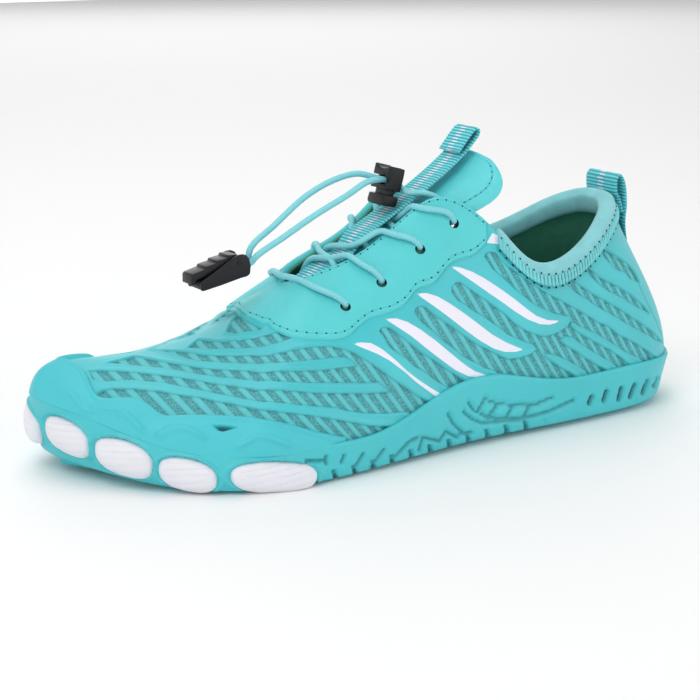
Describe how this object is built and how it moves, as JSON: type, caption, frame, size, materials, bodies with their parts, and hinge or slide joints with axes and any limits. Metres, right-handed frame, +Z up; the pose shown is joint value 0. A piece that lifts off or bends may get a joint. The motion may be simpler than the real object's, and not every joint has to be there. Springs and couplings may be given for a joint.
{
  "type": "water shoe",
  "caption": "Low water shoe with a ribbed mesh upper, moulded toe guard, thin flexible sole, stretch collar and quick lace with cord lock.",
  "frame": {"origin": "Middle of the flat under the heel, on the ground plane.", "axes": "-X towards the toe, -Y towards the lateral side of this left shoe, +Z up. The sole stands on Z = 0."},
  "size_m": [0.2761, 0.1014, 0.117],
  "materials": {
    "upper": "mesh under moulded ribs",
    "eyestay": "smooth synthetic",
    "guard": "satin",
    "sole": "matte",
    "pod": "matte",
    "insole": "knit over foam",
    "tongue": "mesh and synthetic",
    "webbing": "woven",
    "cuff": "soft knit",
    "lace": "braided elastic",
    "hard_plastic": "satin"
  },
  "bodies": {
    "shoe": {"upper": "upper", "eyestay": "eyestay", "toe_guard": "guard", "outsole": "sole", "insole": "insole", "tongue": "tongue", "tongue_webbing": "webbing", "collar_cuff": "cuff", "heel_loop": "webbing", "lace_bar": "lace", "lace_cross_front": "lace", "lace_near_middle": "lace", "lace_far_middle": "lace", "lace_cross_top": "lace", "lace_lead_near": "lace", "lace_lead_far": "lace", "cord_near": "lace", "cord_far": "lace", "lock_body": "hard_plastic", "clip_body": "hard_plastic", "toe_pod_1": "pod", "toe_pod_2": "pod", "toe_pod_3": "pod", "toe_pod_4": "pod", "toe_pod_5": "pod"},
    "button": {"lock_button": "hard_plastic"},
    "lever": {"clip_lever": "hard_plastic"}
  },
  "joints": [
    {"name": "lock_press", "type": "slide", "parent": "shoe", "child": "button", "axis": [0.2571, 0, 0.9664], "range_m": [0, 0.0018], "stiffness_N_per_m": 800, "springref_m": -0.001},
    {"name": "lever_hinge", "type": "hinge", "parent": "shoe", "child": "lever", "pos_m": [-0.1645, 0, 0.074], "axis": [0, 1, 0], "range_deg": [0, 65]}
  ]
}
